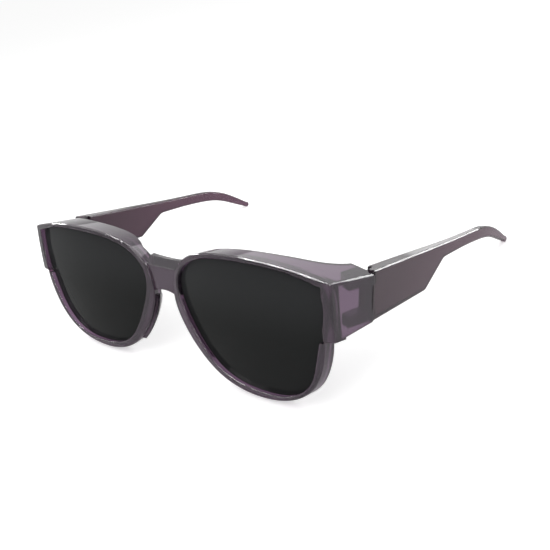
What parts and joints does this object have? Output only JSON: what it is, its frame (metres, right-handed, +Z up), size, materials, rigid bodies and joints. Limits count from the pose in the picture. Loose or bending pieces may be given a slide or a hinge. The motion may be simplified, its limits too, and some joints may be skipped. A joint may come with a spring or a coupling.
{
  "type": "fitover sunglasses",
  "caption": "Oversized sunglasses that fit over other glasses: translucent moulded front with brow shelf and deep end pieces, dark domed lenses, folding temples.",
  "frame": {"origin": "middle of the box's underside: the surface that the rims and the temple tips stand on, with the temples open", "axes": "+X to the wearer's left, +Y from the front back to the temple tips, +Z up; as worn, the part is tipped back about X by 17 degrees from here"},
  "size_m": [0.1546, 0.134, 0.0536],
  "materials": {
    "frame_plastic": "translucent mauve-grey moulded plastic, polished",
    "temple_plastic": "translucent mauve-grey moulded plastic, polished",
    "lens_plastic": "dark grey tinted lens, polished",
    "screw_steel": "machined"
  },
  "bodies": {
    "front": {"front_frame": "frame_plastic", "lens_left": "lens_plastic", "lens_right": "lens_plastic", "hinge_screw_left": "screw_steel", "hinge_screw_right": "screw_steel"},
    "left_temple": {"temple_left": "temple_plastic"},
    "right_temple": {"temple_right": "temple_plastic"}
  },
  "joints": [
    {"name": "left_temple_hinge", "type": "hinge", "parent": "front", "child": "left_temple", "pos_m": [0.0722, -0.0394, 0.0339], "axis": [0, 0.3018, 0.9534], "range_deg": [0, 91]},
    {"name": "right_temple_hinge", "type": "hinge", "parent": "front", "child": "right_temple", "pos_m": [-0.0722, -0.0394, 0.0339], "axis": [0, -0.3018, -0.9534], "range_deg": [0, 86]}
  ]
}
